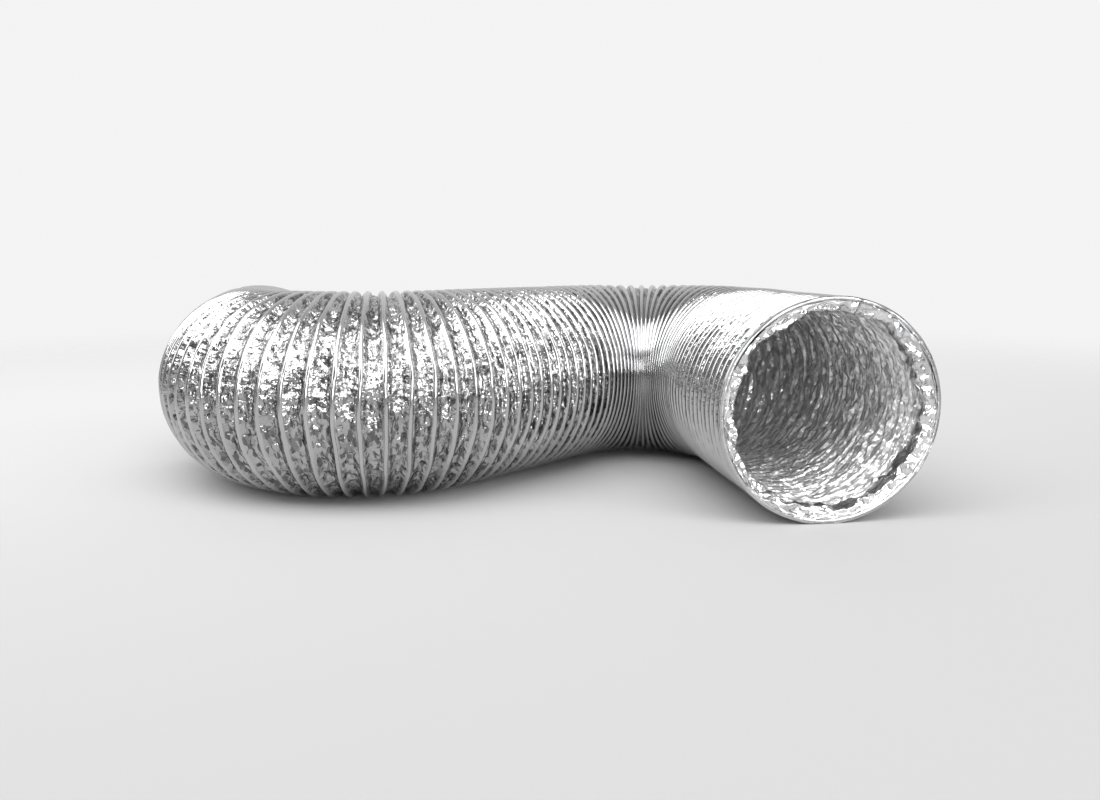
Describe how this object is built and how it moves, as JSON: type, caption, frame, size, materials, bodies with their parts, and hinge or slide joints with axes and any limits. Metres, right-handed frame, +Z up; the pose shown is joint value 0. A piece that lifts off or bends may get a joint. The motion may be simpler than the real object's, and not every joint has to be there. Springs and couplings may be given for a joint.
{
  "type": "flexible air duct",
  "caption": "Ribbed foil duct with a helical wire between two plies, lying in an S, open at both ends, with bending and stretching lengths.",
  "frame": {"origin": "under the middle of the whole duct, on the surface it lies on", "axes": "+Z up, -Y out of the mouth along its axis, +X to the right of someone looking into the mouth"},
  "size_m": [0.6061, 0.343, 0.1629],
  "materials": {
    "outer_foil": "bright crinkled foil laminate",
    "inner_foil": "crumpled foil laminate",
    "hem": "crushed foil, turned in",
    "wire": "drawn spring steel"
  },
  "bodies": {
    "middle_run": {"outer_foil_middle_run": "outer_foil", "inner_foil_middle_run": "inner_foil", "wire_middle_run": "wire", "outer_foil_near_bend_out": "outer_foil", "inner_foil_near_bend_out": "inner_foil", "wire_near_bend_out": "wire", "outer_foil_far_bend_in": "outer_foil", "inner_foil_far_bend_in": "inner_foil", "wire_far_bend_in": "wire"},
    "near_elbow": {"outer_foil_near_elbow": "outer_foil", "inner_foil_near_elbow": "inner_foil", "wire_near_elbow": "wire", "outer_foil_near_bend_in": "outer_foil", "inner_foil_near_bend_in": "inner_foil", "wire_near_bend_in": "wire"},
    "mouth_run": {"outer_foil_mouth_run": "outer_foil", "inner_foil_mouth_run": "inner_foil", "wire_mouth_run": "wire", "outer_foil_mouth_pleats": "outer_foil", "inner_foil_mouth_pleats": "inner_foil", "wire_mouth_pleats": "wire"},
    "mouth_cuff": {"mouth_hem": "hem", "outer_foil_mouth_cuff": "outer_foil", "inner_foil_mouth_cuff": "inner_foil", "wire_mouth_cuff": "wire"},
    "far_elbow": {"outer_foil_far_elbow": "outer_foil", "inner_foil_far_elbow": "inner_foil", "wire_far_elbow": "wire", "outer_foil_far_bend_out": "outer_foil", "inner_foil_far_bend_out": "inner_foil", "wire_far_bend_out": "wire"},
    "far_cuff": {"outer_foil_far_cuff": "outer_foil", "inner_foil_far_cuff": "inner_foil", "wire_far_cuff": "wire", "far_hem": "hem"}
  },
  "joints": [
    {"name": "near_bend_by_run", "type": "hinge", "parent": "middle_run", "child": "near_elbow", "pos_m": [0.11845, 0.0075, 0.0812], "axis": [0, 0, 1], "range_deg": [-8, 30], "deforming": ["outer_foil_near_bend_out", "inner_foil_near_bend_out", "wire_near_bend_out"]},
    {"name": "near_bend_by_mouth", "type": "hinge", "parent": "near_elbow", "child": "mouth_run", "pos_m": [0.13821, -0.00171, 0.0812], "axis": [0, 0, 1], "range_deg": [-8, 30], "deforming": ["outer_foil_near_bend_in", "inner_foil_near_bend_in", "wire_near_bend_in"]},
    {"name": "mouth_stretch", "type": "slide", "parent": "mouth_run", "child": "mouth_cuff", "axis": [0, -1, 0], "range_m": [-0.03, 0.06], "deforming": ["outer_foil_mouth_pleats", "inner_foil_mouth_pleats", "wire_mouth_pleats"]},
    {"name": "far_bend_by_run", "type": "hinge", "parent": "middle_run", "child": "far_elbow", "pos_m": [-0.10717, 0.03474, 0.0812], "axis": [0, 0, 1], "range_deg": [-8, 30], "deforming": ["outer_foil_far_bend_in", "inner_foil_far_bend_in", "wire_far_bend_in"]},
    {"name": "far_bend_by_end", "type": "hinge", "parent": "far_elbow", "child": "far_cuff", "pos_m": [-0.12669, 0.04184, 0.0812], "axis": [0, 0, 1], "range_deg": [-8, 30], "deforming": ["outer_foil_far_bend_out", "inner_foil_far_bend_out", "wire_far_bend_out"]}
  ]
}
